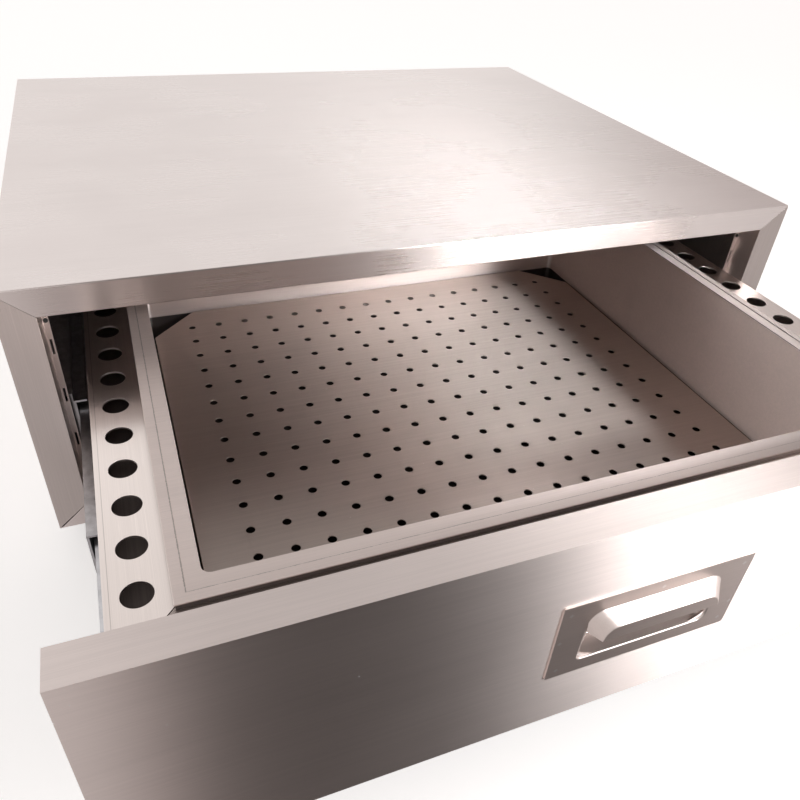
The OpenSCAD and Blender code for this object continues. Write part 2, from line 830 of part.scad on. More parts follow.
module lamp_pins() color([0.8, 0.65, 0.35]) {
    for (s = [-1, 1]) {
        for (v = [-1, 1]) {
            translate([s * lamp_len / 2, lamp_y + v * pin_gap / 2, lamp_z]) rotate([0, 90 * s, 0])
                cylinder(pin_len, lamp_pin_d / 2, lamp_pin_d / 2, $fn = 24);
        }
    }
}

module lamp_guard() color(zinc) {
    reach = lamp_len / 2 - 8;
    bays = 8;
    for (s = [-1, 1]) {
        rod([-reach, lamp_y + s * guard_y, guard_z], [reach, lamp_y + s * guard_y, guard_z], guard_r);
        for (k = [-1, 0, 1]) {
            x = k * (reach - 3);
            rod([x, lamp_y + s * guard_y, guard_z], [x, lamp_y + s * guard_y, reflector_z], guard_cross_r);
        }
    }
    for (k = [0:bays - 1]) {
        x = (k + 0.5 - bays / 2) * 2 * reach / bays;
        rod([x, lamp_y - guard_y - 3, guard_z], [x, lamp_y + guard_y + 3, guard_z], guard_cross_r);
    }
}

module ballast() color(white) {
    difference() {
        translate([-ballast_size[0] / 2, gear_y - ballast_size[1] / 2, ceiling - ballast_size[2]])
            cube(ballast_size);
        for (s = [-1, 1]) {
            translate([s * (ballast_size[0] / 2 - 7), gear_y, ceiling - ballast_size[2] - 1])
                cylinder(4, 2.2, 2.2, $fn = 24);
        }
    }
}

starter_x = ballast_size[0] / 2 + 48;

module starter_holder() color(white) {
    translate([starter_x, gear_y, ceiling]) rotate([0, 180, 0]) difference() {
        cylinder(13, 14, 14, $fn = smooth);
        translate([0, 0, 6]) cylinder(8, 10.9, 10.9, $fn = smooth);
    }
}

module starter() color(white) {
    translate([starter_x, gear_y, ceiling - 6]) rotate([0, 180, 0]) {
        cylinder(24, 10.7, 10.7, $fn = smooth);
        translate([0, 0, 24]) cylinder(2, 8, 7, $fn = smooth);
    }
}

terminal_x = -ballast_size[0] / 2 - 42;

module terminal_block() color(white) {
    difference() {
        block([terminal_x - 25, gear_y - 9, ceiling - 15], [terminal_x + 25, gear_y + 9, ceiling]);
        for (k = [-2:2]) {
            for (s = [-1, 1]) {
                translate([terminal_x + k * 9.5, gear_y + s * 4.5, ceiling - 16])
                    cylinder(6, 2, 2, $fn = 24);
            }
        }
    }
}

// Wire runs clipped up against the ceiling
module wire_run(points) {
    for (k = [0:len(points) - 2]) rod(points[k], points[k + 1], wire_r);
    for (k = [1:len(points) - 2]) translate(points[k]) sphere(wire_r * 1.05, $fn = 24);
}

module lamp_wiring() color(black) {
    z = ceiling - 2;
    y_wire = lamp_y + reflector_w / 2 + 6;
    x_end = reflector_x + 7;
    for (s = [-1, 1]) {
        wire_run([[s * 30, gear_y - ballast_size[1] / 2, z], [s * 30, y_wire, z],
                  [s * x_end, y_wire, z], [s * x_end, lamp_y + 4, z],
                  [s * x_end, lamp_y + 4, lamp_z + 8],
                  [s * (holder_x + holder_t), lamp_y + 4, lamp_z + 8]]);
    }
    wire_run([[ballast_size[0] / 2, gear_y - 6, z], [starter_x - 13.9, gear_y - 6, z]]);
    wire_run([[-ballast_size[0] / 2, gear_y - 3, z], [terminal_x + 25, gear_y - 3, z]]);
    wire_run([[terminal_x - 12, gear_y + 9, z], [terminal_x - 12, rear_in - 26, z],
              [switch_x, rear_in - 26, z], [switch_x, rear_in - 26, rear_z + 4],
              [switch_x, rear_in - 18, rear_z + 4]]);
    wire_run([[terminal_x - 18, gear_y + 9, z], [terminal_x - 18, rear_in - 32, z],
              [inlet_x, rear_in - 32, z], [inlet_x, rear_in - 32, rear_z + 6],
              [inlet_x, rear_in - inlet_size[2] - 1, rear_z + 6]]);
}

// Reed switch on the ceiling and its magnet on the drawer's back rail
interlock_x = -rail_x + 60;

module interlock_sensor() color(black) {
    block([interlock_x - 14, frame_back - back_flange_w + rest_open + 6, rim_top + 20],
          [interlock_x + 14, frame_back + rest_open - 8, ceiling]);
}

module interlock_magnet() color(zinc) {
    block([interlock_x - 12, frame_back - 9, rail_hi], [interlock_x + 12, frame_back - 2, rail_hi + 3]);
}

// Rear fittings

module power_inlet() color(black) {
    x = inlet_size[0] / 2 - 0.2;
    z = inlet_size[1] / 2 - 0.2;
    difference() {
        union() {
            block([inlet_x - x, rear_in - inlet_size[2], rear_z - z],
                  [inlet_x + x, rear_out, rear_z + z]);
            block([inlet_x - x - rear_lip, rear_out, rear_z - z - 3],
                  [inlet_x + x + rear_lip, rear_out + 2.4, rear_z + z + 3]);
        }
        block([inlet_x - x + 2, rear_out - 15, rear_z - z + 3],
              [inlet_x + x - 2, rear_out + 4, rear_z + z - 3]);
    }
}

module inlet_pins() color([0.8, 0.65, 0.35]) {
    for (k = [-1, 0, 1]) {
        block([inlet_x + k * 7 - 1, rear_out - 15, rear_z - 2 + abs(k) * 2 - 2],
              [inlet_x + k * 7 + 1, rear_out - 2, rear_z + 2 + abs(k) * 2 - 2]);
    }
}

module switch_bezel() color(black) {
    x = switch_size[0] / 2;
    z = switch_size[1] / 2;
    c = rocker_clear;
    difference() {
        union() {
            block([switch_x - x - switch_wall, rear_in - 16, rear_z - z - switch_wall],
                  [switch_x + x + switch_wall, rear_out, rear_z + z + switch_wall]);
            block([switch_x - x - rear_lip, rear_out, rear_z - z - rear_lip],
                  [switch_x + x + rear_lip, rear_out + 1.6, rear_z + z + rear_lip]);
        }
        block([switch_x - x - c, rear_in - 9, rear_z - z - c],
              [switch_x + x + c, rear_out + 3, rear_z + z + c]);
    }
}

module switch_rocker() color(black) {
    z = switch_size[1] / 2 - 0.3;
    translate([switch_x, rear_out, rear_z]) rotate([switch_tilt, 0, 0]) rotate([90, 0, 90])
        linear_extrude(switch_size[0], center = true)
            polygon([[-6, -z + 0.5], [-6, z - 0.5], [3.6, z], [2.4, 0], [3.6, -z]]);
}

top_panel();
left_side_panel();
right_side_panel();
bottom_panel();
rear_panel();
rear_panel_screws();
feet();
foot_screws();
drawer_bumpers();
left_slide_bracket();
right_slide_bracket();
left_outer_slide();
right_outer_slide();
outer_slide_screws();
left_middle_slide();
right_middle_slide();
outer_ball_cages();
outer_slide_balls();
inner_ball_cages();
inner_slide_balls();
left_inner_slide();
right_inner_slide();
inner_slide_screws();
drawer_left_rail();
drawer_right_rail();
drawer_front_rail();
drawer_back_rail();
drawer_front_skin();
drawer_front_liner();
front_screws();
handle();
handle_studs();
handle_nuts();
pan();
perforated_tray();
lamp_reflector();
lamp_holders();
uv_lamp_tube();
lamp_end_caps();
lamp_pins();
lamp_guard();
ballast();
starter();
starter_holder();
terminal_block();
lamp_wiring();
interlock_sensor();
interlock_magnet();
power_inlet();
inlet_pins();
switch_bezel();
switch_rocker();
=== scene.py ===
import bpy, bmesh, json, math
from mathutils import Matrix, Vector

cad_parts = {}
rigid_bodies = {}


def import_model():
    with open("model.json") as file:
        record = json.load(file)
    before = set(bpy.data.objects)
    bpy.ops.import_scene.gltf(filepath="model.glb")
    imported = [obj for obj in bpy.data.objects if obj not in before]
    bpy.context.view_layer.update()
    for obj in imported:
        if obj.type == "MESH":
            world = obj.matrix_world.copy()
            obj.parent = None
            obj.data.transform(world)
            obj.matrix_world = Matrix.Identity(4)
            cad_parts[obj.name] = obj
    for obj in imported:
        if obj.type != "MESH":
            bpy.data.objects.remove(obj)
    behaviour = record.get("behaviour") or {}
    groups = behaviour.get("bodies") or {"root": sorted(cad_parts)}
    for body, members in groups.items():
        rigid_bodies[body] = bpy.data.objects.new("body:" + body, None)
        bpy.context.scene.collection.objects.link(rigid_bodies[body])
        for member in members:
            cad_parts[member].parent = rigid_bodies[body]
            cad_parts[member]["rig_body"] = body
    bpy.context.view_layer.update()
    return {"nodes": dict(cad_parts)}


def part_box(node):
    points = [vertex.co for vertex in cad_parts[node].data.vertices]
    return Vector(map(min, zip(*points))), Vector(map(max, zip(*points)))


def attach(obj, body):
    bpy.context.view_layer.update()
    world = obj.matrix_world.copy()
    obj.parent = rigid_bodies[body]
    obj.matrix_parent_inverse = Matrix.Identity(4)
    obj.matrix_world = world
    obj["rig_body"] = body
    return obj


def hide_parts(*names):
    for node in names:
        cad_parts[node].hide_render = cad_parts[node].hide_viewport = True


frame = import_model()
nodes = frame["nodes"]
mm = 0.001
touching = 0.01 * mm                         # points nearer than this count as one place
near = 0.1 * mm

# lengths are in metres in the cabinet's own frame: x to the right, y to the back, z up
cameraLook = {
    "eye": (-0.2379, -0.5809, 0.4553),
    "turn": (53.589, -3.258, -20.872),      # degrees
    "lens": 32.57,                           # millimetres, as is the sensor
    "sensor": 36,
    "nearest": 0.01,
}


def makeCamera(look):
    turn = [math.radians(angle) for angle in look["turn"]]
    bpy.ops.object.camera_add(location=look["eye"], rotation=turn)
    camera = bpy.context.object
    camera.name = "camera"
    camera.data.lens = look["lens"]
    camera.data.sensor_width = look["sensor"]
    camera.data.clip_start = look["nearest"]
    bpy.context.scene.camera = camera


makeCamera(cameraLook)
print("camera set")


class Signal:                                # wraps one socket, so that shader maths reads as sums
    def __init__(self, tree, socket=None):
        self.tree = tree
        self.socket = socket

    def make(self, kind, settings=None, sockets=None, output=0):
        node = self.tree.nodes.new(kind)
        for name, value in (settings or {}).items():
            setattr(node, name, value)
        for name, value in (sockets or {}).items():
            if isinstance(value, Signal):
                self.tree.links.new(value.socket, node.inputs[name])
            else:
                node.inputs[name].default_value = value
        return Signal(self.tree, node.outputs[output]) if node.outputs else None

    def maths(self, operation, *values):
        return self.make("ShaderNodeMath", {"operation": operation}, dict(enumerate(values)))

    def __add__(self, other):
        return self.maths("ADD", self, other)

    def __radd__(self, other):
        return self.maths("ADD", other, self)

    def __sub__(self, other):
        return self.maths("SUBTRACT", self, other)

    def __rsub__(self, other):
        return self.maths("SUBTRACT", other, self)

    def __mul__(self, other):
        return self.maths("MULTIPLY", self, other)

    def __rmul__(self, other):
        return self.maths("MULTIPLY", other, self)

    def __abs__(self):
        return self.maths("ABSOLUTE", self)

    def atLeast(self, other):
        return self.maths("MAXIMUM", self, other)

    def ramp(self, low, high, toLow=0.0, toHigh=1.0):    # smooth step from low to high
        return self.make("ShaderNodeMapRange", {"interpolation_type": "SMOOTHSTEP"},
                         {0: self, 1: low, 2: high, 3: toLow, 4: toHigh})

    def split(self):                         # the x, y and z of a vector
        return [self.make("ShaderNodeSeparateXYZ", {}, {0: self}, output=i) for i in range(3)]


def mixColour(a, b, factor):
    start = next(v for v in (a, b, factor) if isinstance(v, Signal))
    first, second = [v if isinstance(v, Signal) else (*v, 1) for v in (a, b)]
    return start.make("ShaderNodeMix", {"data_type": "RGBA"}, {0: factor, 6: first, 7: second}, output=2)


def shade(colour, factor):                   # a darker or lighter version of a colour
    return tuple(min(1.0, c * factor) for c in colour)


def startMaterial(name):
    material = bpy.data.materials.new(name)
    material.use_nodes = True
    material.node_tree.nodes.clear()
    return material, Signal(material.node_tree)


def finishMaterial(material, net, sockets):
    shader = net.make("ShaderNodeBsdfPrincipled", {}, sockets)
    net.make("ShaderNodeOutputMaterial", {}, {"Surface": shader})
    return material


def objectPlace(net):
    return net.make("ShaderNodeTexCoord", output=3)


def stretched(net, scale):
    return net.make("ShaderNodeMapping", {}, {"Vector": objectPlace(net), "Scale": scale})


def noise(net, scale, detail=2.0, rough=0.5):
    return net.make("ShaderNodeTexNoise", {"noise_dimensions": "3D"},
                    {"Vector": stretched(net, scale), "Scale": 1.0, "Detail": detail, "Roughness": rough})


def even(scale):
    return (scale, scale, scale)


def alongAxis(axis, along, across):          # a scale that stretches a pattern along one axis
    return tuple(along if name == axis else across for name in "XYZ")


# rough is how matt the sheet is, axis the way its grain runs, grain how far its tones differ,
# depth how strong the bump is, and spread how far the gloss is drawn out across the grain.
# The tones and fades below set how light or dark one region is; the top shading, the rim shade and the dark
# under the tray are painted light and shade. They aren't there in plain steel.
steelLooks = {
    "cabinetSteel": {
        "colour": (0.82, 0.75, 0.73), "rough": 0.27, "axis": "X",
        "grain": 0.015, "depth": 0.005, "spread": 0.93,
    },
    "sideSteel": {
        "colour": (0.80, 0.72, 0.69), "rough": 0.30, "axis": "Z",
        "grain": 0.03, "depth": 0.10, "spread": 0.85,
    },
    "frontSteel": {
        "colour": (0.87, 0.78, 0.75), "rough": 0.40, "axis": "X",
        "grain": 0.03, "depth": 0.05, "spread": 0.93,
        "paintedTopShading": {"level": 0.2050, "start": 0.04, "end": 0.22, "tone": 0.42},
    },
    "railSteel": {
        "colour": (0.80, 0.72, 0.685), "rough": 0.28, "axis": "Y",
        "grain": 0.04, "depth": 0.12, "spread": 0.8,
        "fold": 0.2731,                      # how far from the middle the folded strip ends
    },
    "panSteel": {
        "colour": (0.87, 0.775, 0.74), "rough": 0.52, "axis": "X",
        "grain": 0.03, "depth": 0.08, "spread": 0.8,
        "rimShade": {"side": 0.2434, "front": -0.3499, "level": 0.1749, "tone": 0.24},
        "seam": {"side": 0.2388, "front": -0.3453, "foot": 0.1748, "top": 0.1751, "tone": 0.4},
        "wall": {"side": 0.2290, "level": 0.1745, "rough": 0.3},
        "paintedShadeUnderTray": {"level": 0.0812, "tone": 0.12},
        "paintedTopShading": {"level": 0.1751, "start": 0.02, "end": 0.20, "tone": 0.6},
    },
    "traySteel": {
        # the colour is darker than the steel's own, as painted shade over the whole tray
        "colour": (0.58, 0.505, 0.465), "rough": 0.34, "axis": "X",
        "grain": 0.05, "depth": 0.2, "spread": 0.92,
    },
    "shadeSteel": {
        # a near-black steel, as painted shade for the sheets below the rails' holes
        "colour": (0.18, 0.15, 0.14), "rough": 0.5, "axis": "Y",
        "grain": 0.1, "depth": 0.1, "spread": 0.3,
    },
    "railFrontSteel": {
        # the colour is darker than the steel's own, as painted shade under the rim; its top shading lightens
        # it towards the right, as painted light
        "colour": (0.50, 0.435, 0.41), "rough": 0.45, "axis": "X",
        "grain": 0.05, "depth": 0.1, "spread": 0.7,
        "paintedTopShading": {"level": 0.170, "start": 0.0, "end": 0.2, "tone": 1.9},
    },
    "handleSteel": {
        "colour": (0.78, 0.69, 0.655), "rough": 0.42, "axis": "X",
        "grain": 0.02, "depth": 0.08, "spread": 0.0,
        "marks": [(-0.0565, 0.1515), (0.0565, 0.1520), (-0.0560, 0.1035), (0.0560, 0.1040),
                  (-0.0590, 0.1290), (0.0010, 0.1530), (0.0590, 0.1180)],
    },
}
tangents = {"X": (0, 0.12, 0.99), "Y": (0.71, 0, 0.7), "Z": (0.71, 0.7, 0)}     # one for each grain
surfaceLook = {                              # patterns are counted per metre, along and across the grain
    "hairline": (14, 2600), "band": (3, 420), "hairlineShare": 0.6, "streakCut": (0.35, 0.65),
    "smear": (9, 38), "smearCut": (0.45, 0.8), "smearTone": 0.9, "smearMix": 0.3,
    "scratch": (22, 900), "scratchCut": (0.73, 0.78), "scratchTone": 1.12, "scratchMix": 0.5,
    "dust": 95, "dustSize": (0.035, 0.02), "dustColour": (0.8, 0.79, 0.78), "dustRough": 0.4,
    "dustPatch": 23, "dustPatchCut": (0.55, 0.6),
    "cloud": 7, "cloudCut": (0.35, 0.75), "cloudHeight": 0.3, "roughVary": 0.03, "bumpUnit": 0.01 * mm,
}
edgeLook = {                                 # how tones, seams and marks end and what they look like
    "soft": 1 * mm, "topSoft": 0.6 * mm, "rimSoft": 0.4 * mm, "rimClear": (0.02, 0.2), "rimClearMix": 0.6,
    "raggedScale": 900, "ragged": 0.7 * mm, "seamWidth": (0.45 * mm, 0.1 * mm), "seamMix": 0.7,
    "markSize": (2.2 * mm, 0.8 * mm), "markColour": (0.95, 0.93, 0.92), "markMix": 0.6, "markHeight": 30,
    "foldWidth": (0.3 * mm, 0.1 * mm), "foldTone": 0.5, "foldMix": 0.6, "foldHeight": 8,
}


def addTones(net, look, edges, place, colour, rough):      # tones of one region, by place alone: painted light and shade, a dark seam and rougher walls
    across, back, rise = place
    if "paintedTopShading" in look:                    # painted light and shade along the top, growing towards one end: a tone below one darkens it, a tone above one lightens it
        fade = look["paintedTopShading"]
        atTop = rise.ramp(fade["level"] - edges["topSoft"], fade["level"])
        amount = atTop * across.ramp(fade["start"], fade["end"])
        colour = mixColour(colour, shade(look["colour"], fade["tone"]), amount)
    if "rimShade" in look:                   # painted shade: a dark line under the outer half of the rim, weaker towards the right
        rim = look["rimShade"]
        outer = abs(across).ramp(rim["side"], rim["side"] + edges["soft"]).atLeast(
            back.ramp(rim["front"], rim["front"] - edges["soft"]))
        clear = across.ramp(*edges["rimClear"]) * edges["rimClearMix"]
        amount = outer * rise.ramp(rim["level"], rim["level"] - edges["rimSoft"]) * (1 - clear)
        colour = mixColour(colour, shade(look["colour"], rim["tone"]), amount)
    if "seam" in look:                       # the ragged inner edge of the folded hem
        seam = look["seam"]
        ragged = (noise(net, even(edges["raggedScale"]), 2) - 0.5) * edges["ragged"]
        past = (abs(across) - seam["side"]).atLeast(seam["front"] - back)
        amount = abs(past + ragged).ramp(*edges["seamWidth"]) * rise.ramp(seam["foot"], seam["top"])
        colour = mixColour(colour, shade(look["colour"], seam["tone"]), amount * edges["seamMix"])
    if "wall" in look:                       # rougher below the rim, on the two side walls
        wall = look["wall"]
        amount = abs(across).ramp(wall["side"], wall["side"] + edges["soft"])
        rough = rough + amount * rise.ramp(wall["level"], wall["level"] - edges["soft"]) * wall["rough"]
    if "paintedShadeUnderTray" in look:                  # painted shade: dark below the tray, seen through its holes
        under = look["paintedShadeUnderTray"]
        amount = rise.ramp(under["level"], under["level"] - edges["soft"])
        colour = mixColour(colour, shade(look["colour"], under["tone"]), amount)
    return colour, rough


def addMarks(look, edges, place, colour, height):          # small pale marks, and the end of a folded strip
    across, rise = place[0], place[2]
    for markX, markZ in look.get("marks", []):
        mark = (abs(across - markX) + abs(rise - markZ)).ramp(*edges["markSize"])
        colour = mixColour(colour, edges["markColour"], mark * edges["markMix"])
        height = height + mark * edges["markHeight"]
    if "fold" in look:
        offset = abs(across) - look["fold"]
        line = abs(offset).ramp(*edges["foldWidth"])
        step = edges["foldWidth"][0]
        colour = mixColour(colour, shade(look["colour"], edges["foldTone"]), line * edges["foldMix"])
        height = height + offset.ramp(-step, step) * edges["foldHeight"]
    return colour, height


def makeSteel(name, look, surface, edges):
    material, net = startMaterial(name)
    axis = look["axis"]
    fine = noise(net, alongAxis(axis, *surface["hairline"]), 2, 0.6)
    broad = noise(net, alongAxis(axis, *surface["band"]), 3, 0.6)
    cloud = noise(net, even(surface["cloud"]), 3, 0.55)
    smear = noise(net, alongAxis(axis, *surface["smear"]), 4, 0.6)
    streak = fine * surface["hairlineShare"] + broad * (1 - surface["hairlineShare"])
    speck = net.make("ShaderNodeTexVoronoi", {},
                     {"Vector": stretched(net, even(surface["dust"])), "Scale": 1.0})
    patch = noise(net, even(surface["dustPatch"])).ramp(*surface["dustPatchCut"])
    dust = speck.ramp(*surface["dustSize"]) * patch
    scratch = noise(net, alongAxis(axis, *surface["scratch"]), 1, 0.4).ramp(*surface["scratchCut"])
    dark, light = [shade(look["colour"], 1 + change) for change in (-look["grain"], look["grain"])]
    colour = mixColour(dark, light, streak.ramp(*surface["streakCut"]))
    colour = mixColour(colour, shade(look["colour"], surface["smearTone"]),
                       smear.ramp(*surface["smearCut"]) * surface["smearMix"])
    colour = mixColour(colour, shade(look["colour"], surface["scratchTone"]), scratch * surface["scratchMix"])
    colour = mixColour(colour, surface["dustColour"], dust)
    uneven = (streak - 0.5) + cloud.ramp(*surface["cloudCut"])
    rough = look["rough"] + uneven * surface["roughVary"] + dust * surface["dustRough"]
    place = objectPlace(net).split()
    colour, rough = addTones(net, look, edges, place, colour, rough)
    colour, height = addMarks(look, edges, place, colour, streak + cloud * surface["cloudHeight"])
    bump = net.make("ShaderNodeBump", {},
                    {"Strength": look["depth"], "Distance": surface["bumpUnit"], "Height": height})
    sockets = {"Base Color": colour, "Roughness": rough, "Metallic": 1 - dust, "Normal": bump}
    if look["spread"]:
        sockets["Anisotropic"] = look["spread"]
        sockets["Tangent"] = net.make("ShaderNodeCombineXYZ", {}, dict(enumerate(tangents[axis])))
    return finishMaterial(material, net, sockets)


plainLooks = {
    "zincSteel": {"colour": (0.62, 0.62, 0.64), "rough": 0.32, "metal": 1, "scale": 160, "vary": 0.12},
    "fastenerSteel": {"colour": (0.72, 0.72, 0.74), "rough": 0.24, "metal": 1, "scale": 420, "vary": 0.08},
    "blackRubber": {"colour": (0.030, 0.029, 0.028), "rough": 0.72, "metal": 0, "scale": 900, "vary": 0.3},
    "blackPlastic": {"colour": (0.026, 0.026, 0.028), "rough": 0.46, "metal": 0, "scale": 2200,
                     "vary": 0.25},
    "whitePlastic": {"colour": (0.80, 0.80, 0.77), "rough": 0.38, "metal": 0, "scale": 700, "vary": 0.05},
    "whiteEnamel": {"colour": (0.84, 0.84, 0.82), "rough": 0.22, "metal": 0, "scale": 240, "vary": 0.04},
    "contactBrass": {"colour": (0.80, 0.62, 0.30), "rough": 0.25, "metal": 1, "scale": 500, "vary": 0.12},
    "wireJacket": {"colour": (0.045, 0.045, 0.05), "rough": 0.5, "metal": 0, "scale": 300, "vary": 0.15},
}
plainGrain = {"cut": (0.3, 0.7), "cloud": 18, "grainRough": 0.15, "cloudRough": 0.12,
              "depth": 0.3, "bumpUnit": 0.04 * mm}
glassLook = {"colour": (0.86, 0.91, 0.97, 1), "haze": 60, "hazeCut": (0.3, 0.8), "rough": (0.02, 0.12),
             "bend": 1.47, "clear": 0.9}


def makePlain(name, look, pattern):
    material, net = startMaterial(name)
    grain = noise(net, even(look["scale"]), 3, 0.6)
    cloud = noise(net, even(pattern["cloud"]), 3, 0.5)
    dark, light = [shade(look["colour"], 1 + change) for change in (-look["vary"], look["vary"])]
    colour = mixColour(dark, light, grain.ramp(*pattern["cut"]))
    rough = look["rough"] + (grain - 0.5) * pattern["grainRough"] + (cloud - 0.5) * pattern["cloudRough"]
    bump = net.make("ShaderNodeBump", {},
                    {"Strength": pattern["depth"], "Distance": pattern["bumpUnit"], "Height": grain})
    return finishMaterial(material, net, {"Base Color": colour, "Roughness": rough,
                                          "Metallic": float(look["metal"]), "Normal": bump})


def makeGlass(name, look):
    material, net = startMaterial(name)
    haze = noise(net, even(look["haze"]), 3, 0.5)
    return finishMaterial(material, net, {
        "Base Color": look["colour"], "Roughness": haze.ramp(*look["hazeCut"], *look["rough"]),
        "IOR": look["bend"], "Transmission Weight": look["clear"]})


finishes = {name: makeSteel(name, look, surfaceLook, edgeLook) for name, look in steelLooks.items()}
finishes.update({name: makePlain(name, look, plainGrain) for name, look in plainLooks.items()})
finishes["lampGlass"] = makeGlass("lampGlass", glassLook)
nodeFinish = {
    "cabinetSteel": ["top_panel", "bottom_panel", "rear_panel"],
    "sideSteel": ["left_side_panel", "right_side_panel"],
    "frontSteel": ["drawer_front_skin", "drawer_front_liner"],
    "railFrontSteel": ["drawer_front_rail"],
    "railSteel": ["drawer_left_rail", "drawer_right_rail", "drawer_back_rail"],
    "panSteel": ["pan"],
    "traySteel": ["perforated_tray"],
    "handleSteel": ["handle"],
    "zincSteel": ["left_slide_bracket", "right_slide_bracket", "left_outer_slide", "right_outer_slide",
                  "left_middle_slide", "right_middle_slide", "left_inner_slide", "right_inner_slide",
                  "outer_ball_cages", "inner_ball_cages", "lamp_guard", "lamp_end_caps",
                  "interlock_magnet", "lamp_reflector"],
    "fastenerSteel": ["rear_panel_screws", "foot_screws", "outer_slide_screws", "inner_slide_screws",
                      "front_screws", "handle_studs", "handle_nuts", "outer_slide_balls",
                      "inner_slide_balls"],
    "blackRubber": ["feet", "drawer_bumpers"],
    "blackPlastic": ["power_inlet", "switch_bezel", "switch_rocker", "interlock_sensor"],
    "whitePlastic": ["lamp_holders", "starter", "starter_holder", "terminal_block"],
    "whiteEnamel": ["ballast"],
    "contactBrass": ["lamp_pins", "inlet_pins"],
    "wireJacket": ["lamp_wiring"],
    "lampGlass": ["uv_lamp_tube"],
}
for finishName, nodeNames in nodeFinish.items():
    for nodeName in nodeNames:
        nodes[nodeName].data.materials.clear()
        nodes[nodeName].data.materials.append(finishes[finishName])
print("materials made")


def deselectAll():
    if bpy.context.mode != "OBJECT":
        bpy.ops.object.mode_set(mode="OBJECT")
    bpy.ops.object.select_all(action="DESELECT")


def activate(piece):
    deselectAll()
    piece.select_set(True)
    bpy.context.view_layer.objects.active = piece


def edit(piece):
    activate(piece)
    bpy.ops.object.mode_set(mode="EDIT")
    bpy.ops.mesh.select_all(action="DESELECT")


def applyModifiers(piece):
    activate(piece)
    for modifier in list(piece.modifiers):
        bpy.ops.object.modifier_apply(modifier=modifier.name)


def finishPiece(piece, body, finish, replaced=(), angle=32):
    activate(piece)
    bpy.ops.object.transform_apply(location=True, rotation=True, scale=True)
    bpy.ops.object.shade_smooth_by_angle(angle=math.radians(angle))
    weighted = piece.modifiers.new("flatFaces", "WEIGHTED_NORMAL")
    weighted.weight = 100                    # keeps a broad face flat beside a narrow bend
    weighted.keep_sharp = True
    applyModifiers(piece)
    piece.data.materials.clear()
    piece.data.materials.append(finishes[finish])
    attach(piece, body)
    if replaced:
        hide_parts(*replaced)
    deselectAll()
    return piece


meshLook = {"merge": 0.01 * mm, "flatAngle": 0.5, "onLine": 0.08 * mm, "straight": 0.999}


def copyNode(nodeName, pieceName, whole=True):    # a merged copy, with its flat faces whole again
    piece = bpy.data.objects.new(pieceName, nodes[nodeName].data.copy())
    bpy.context.scene.collection.objects.link(piece)
    edit(piece)
    bpy.ops.mesh.select_all(action="SELECT")
    bpy.ops.mesh.remove_doubles(threshold=meshLook["merge"])
    if whole:
        flat = math.radians(meshLook["flatAngle"])
        bpy.ops.mesh.dissolve_limited(angle_limit=flat, use_dissolve_boundaries=False)
    bpy.ops.mesh.normals_make_consistent(inside=False)
    bpy.ops.object.mode_set(mode="OBJECT")
    return piece


def edgeRadius(edge, bends, plain):          # bends: {axis: [(place in the two others, radius)]}
    a, b = (v.co for v in edge.verts)
    along = (b - a).normalized()
    for axis, lines in bends.items():
        index = "XYZ".index(axis)
        if abs(along[index]) < meshLook["straight"]:
            continue
        others = [i for i in range(3) if i != index]
        for line in lines:
            if all(abs(a[i] - line[k]) < meshLook["onLine"] for k, i in enumerate(others)):
                return line[2]
    return plain


def roundEdges(piece, bends, plain, segments=3, sharp=28, clamp=True):
    mesh = bmesh.new()
    mesh.from_mesh(piece.data)
    weights = mesh.edges.layers.float.new("bevel_weight_edge")
    widest = max([plain] + [line[2] for lines in bends.values() for line in lines])
    for edge in mesh.edges:
        if len(edge.link_faces) == 2 and edge.is_convex and edge.calc_face_angle() > math.radians(sharp):
            edge[weights] = edgeRadius(edge, bends, plain) / widest
    mesh.to_mesh(piece.data)
    mesh.free()
    bevel = piece.modifiers.new("roundedEdges", "BEVEL")
    bevel.width = widest
    bevel.segments = segments
    bevel.limit_method = "WEIGHT"
    bevel.use_clamp_overlap = clamp
    applyModifiers(piece)


def selectFaces(piece, test):
    bpy.ops.mesh.select_mode(type="FACE")
    bpy.ops.mesh.select_all(action="DESELECT")
    mesh = bmesh.from_edit_mesh(piece.data)
    mesh.normal_update()
    for face in mesh.faces:
        if test(face.calc_center_median(), face.normal):
            face.select_set(True)
    bmesh.update_edit_mesh(piece.data)


def selectEdges(piece, test):
    bpy.ops.mesh.select_mode(type="EDGE")
    bpy.ops.mesh.select_all(action="DESELECT")
    mesh = bmesh.from_edit_mesh(piece.data)
    for edge in mesh.edges:
        if test(edge.verts[0].co, edge.verts[1].co):
            edge.select_set(True)
    bmesh.update_edit_mesh(piece.data)


def bisectAt(piece, axis, place):
    bpy.ops.mesh.select_all(action="SELECT")
    point = [place if name == axis else 0 for name in "XYZ"]
    bpy.ops.mesh.bisect(plane_co=point, plane_no=[float(name == axis) for name in "XYZ"])


def pull(vector):
    bpy.ops.mesh.extrude_region_move(TRANSFORM_OT_translate={"value": vector})


def pullEdges(vector):
    bpy.ops.mesh.extrude_edges_move(TRANSFORM_OT_translate={"value": vector})


def selectVerts(piece, test):
    bpy.ops.mesh.select_mode(type="VERT")
    bpy.ops.mesh.select_all(action="DESELECT")
    mesh = bmesh.from_edit_mesh(piece.data)
    for vert in mesh.verts:
        if test(vert.co):
            vert.select_set(True)
    bmesh.update_edit_mesh(piece.data)


def alongLimits(a, b, limits, slack):        # an edge that lies along one of the lines in limits
    return any(max(abs(a[axis] - at), abs(b[axis] - at)) < slack for axis, at in limits)


def soften(nodeName, pieceName, finish, bends, plain, segments=3):
    piece = copyNode(nodeName, pieceName)
    roundEdges(piece, bends, plain, segments)
    return finishPiece(piece, nodes[nodeName]["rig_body"], finish, [nodeName])


cabinetLook = {"bend": 1.6 * mm, "innerBend": 1.3 * mm, "cut": 0.18 * mm, "flange": 0.6 * mm}


